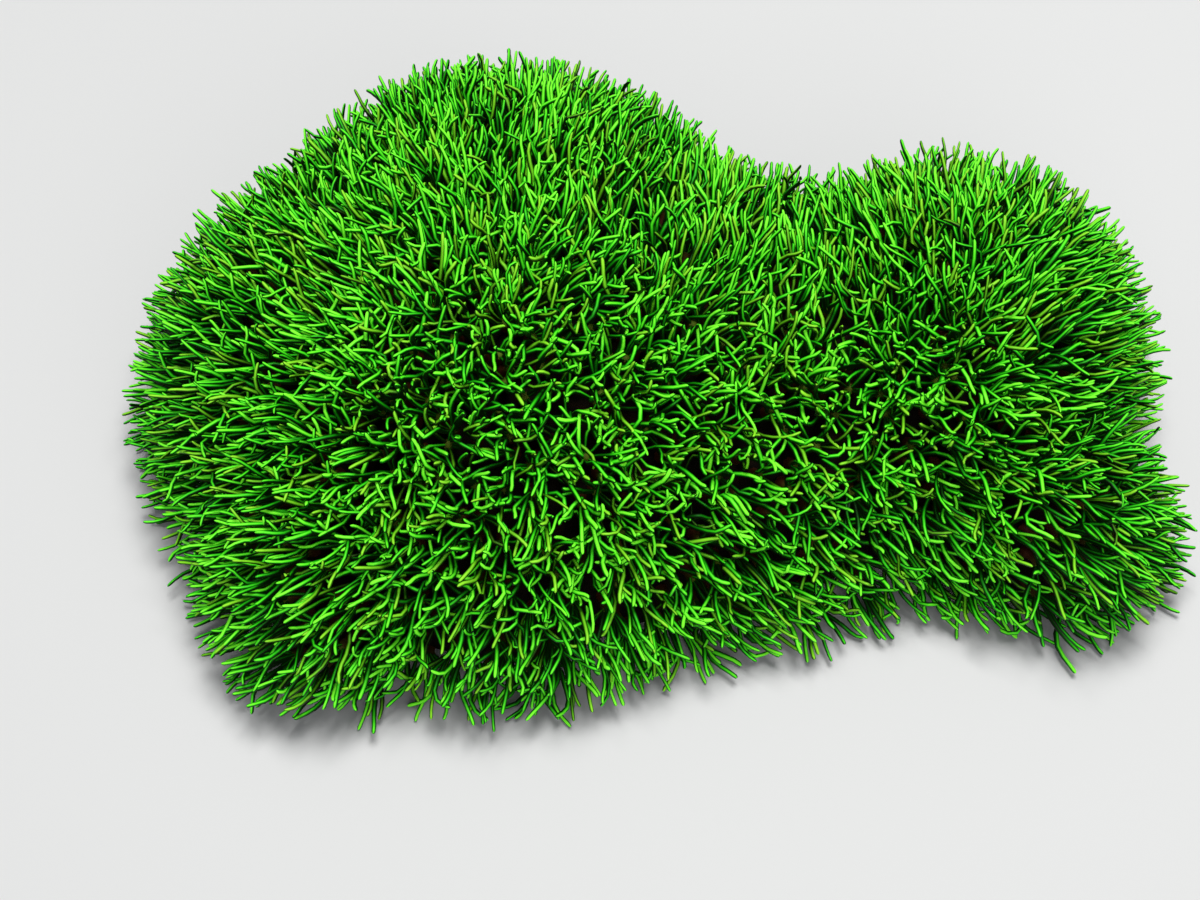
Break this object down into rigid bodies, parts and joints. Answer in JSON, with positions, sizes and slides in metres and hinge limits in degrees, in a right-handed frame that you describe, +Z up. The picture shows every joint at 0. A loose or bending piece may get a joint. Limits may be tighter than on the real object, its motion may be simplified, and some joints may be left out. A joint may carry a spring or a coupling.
{
  "type": "green star polyp colony",
  "caption": "Two-headed mound of soft coral with a close crop of polyps, each with eight slender green tentacles, cut off flat underneath.",
  "frame": {"origin": "middle of the colony's box, on the flat cut it rests on", "axes": "+Z up; +X towards the smaller head, along the colony's length; -Y towards the front, as the picture shows it"},
  "size_m": [0.1724, 0.1182, 0.0579],
  "materials": {
    "polyp_green": "moist fluorescent green flesh, yellow-green at the tips and dark at the roots"
  },
  "bodies": {
    "root": {"colony": "polyp_green"}
  },
  "joints": []
}
